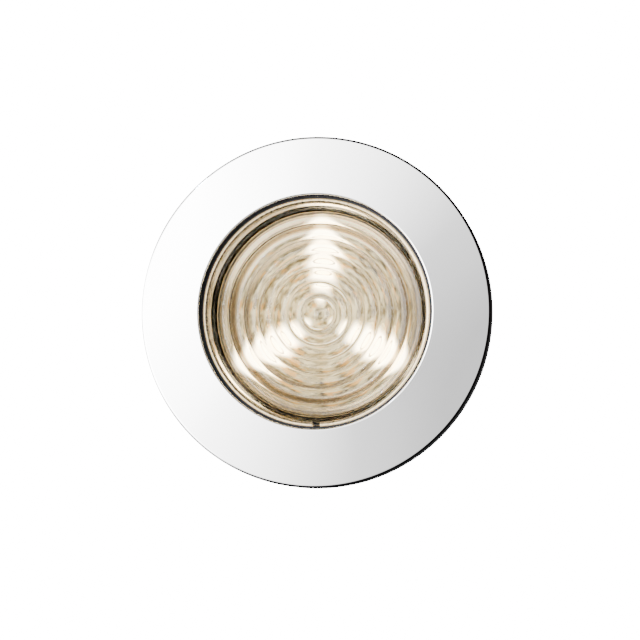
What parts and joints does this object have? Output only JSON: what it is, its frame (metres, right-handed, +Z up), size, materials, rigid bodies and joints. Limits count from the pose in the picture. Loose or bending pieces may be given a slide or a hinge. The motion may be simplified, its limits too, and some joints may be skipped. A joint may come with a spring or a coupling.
{
  "type": "recessed led lamp",
  "caption": "Round recessed LED lamp with a polished pull-off trim bezel, a clear scalloped-ring lens, a finned heat sink and a two-bullet rear socket.",
  "frame": {"origin": "centre of the panel gasket's back face, where the lamp's axis meets the panel", "axes": "-Y out of the lamp's face towards the viewer, +Y into the panel, +Z up, +X to the right seen from the front"},
  "size_m": [0.0762, 0.0407, 0.0762],
  "materials": {
    "polished_steel": "mirror polished",
    "grey_plastic": "moulded",
    "spring_steel": "rolled strip",
    "clear_lens": "clear moulded polycarbonate",
    "ring_steel": "drawn wire, warm nickel flash",
    "seal_silicone": "moulded",
    "seal_rubber": "moulded",
    "black_plastic": "fine texture",
    "gasket_foam": "closed-cell foam",
    "metallised_plastic": "vacuum metallised",
    "board_white": "white solder mask",
    "led_ceramic": "moulded",
    "led_phosphor": "silicone",
    "chip_black": "moulded",
    "capacitor_tan": "fired",
    "solder": "reflowed",
    "screw_steel": "plated",
    "thermal_silicone": "matt",
    "cast_aluminium": "die cast",
    "insert_brass": "machined",
    "socket_plastic": "moulded",
    "terminal_brass": "tinned brass"
  },
  "bodies": {
    "housing": {"lens": "clear_lens", "lens_retaining_ring": "ring_steel", "lens_seal": "seal_silicone", "housing": "black_plastic", "panel_gasket": "gasket_foam", "reflector": "metallised_plastic", "led_board": "board_white", "led_packages": "led_ceramic", "led_phosphors": "led_phosphor", "regulator_chip": "chip_black", "resistors": "chip_black", "capacitors": "capacitor_tan", "protection_diode": "chip_black", "solder_joints": "solder", "board_screws": "screw_steel", "thermal_pad": "thermal_silicone", "heat_sink": "cast_aluminium", "heat_sink_seal": "seal_rubber", "screw_inserts": "insert_brass", "heat_sink_screws": "screw_steel", "connector_socket": "socket_plastic", "socket_gasket": "seal_rubber", "socket_screws": "screw_steel", "terminal_bullets": "terminal_brass"},
    "bezel": {"trim_bezel": "polished_steel", "bezel_carrier": "grey_plastic", "bezel_springs": "spring_steel"}
  },
  "joints": [
    {"name": "bezel_pull", "type": "slide", "parent": "housing", "child": "bezel", "axis": [0, -1, 0], "range_m": [0, 0.025], "deforming": ["bezel_springs"]}
  ]
}
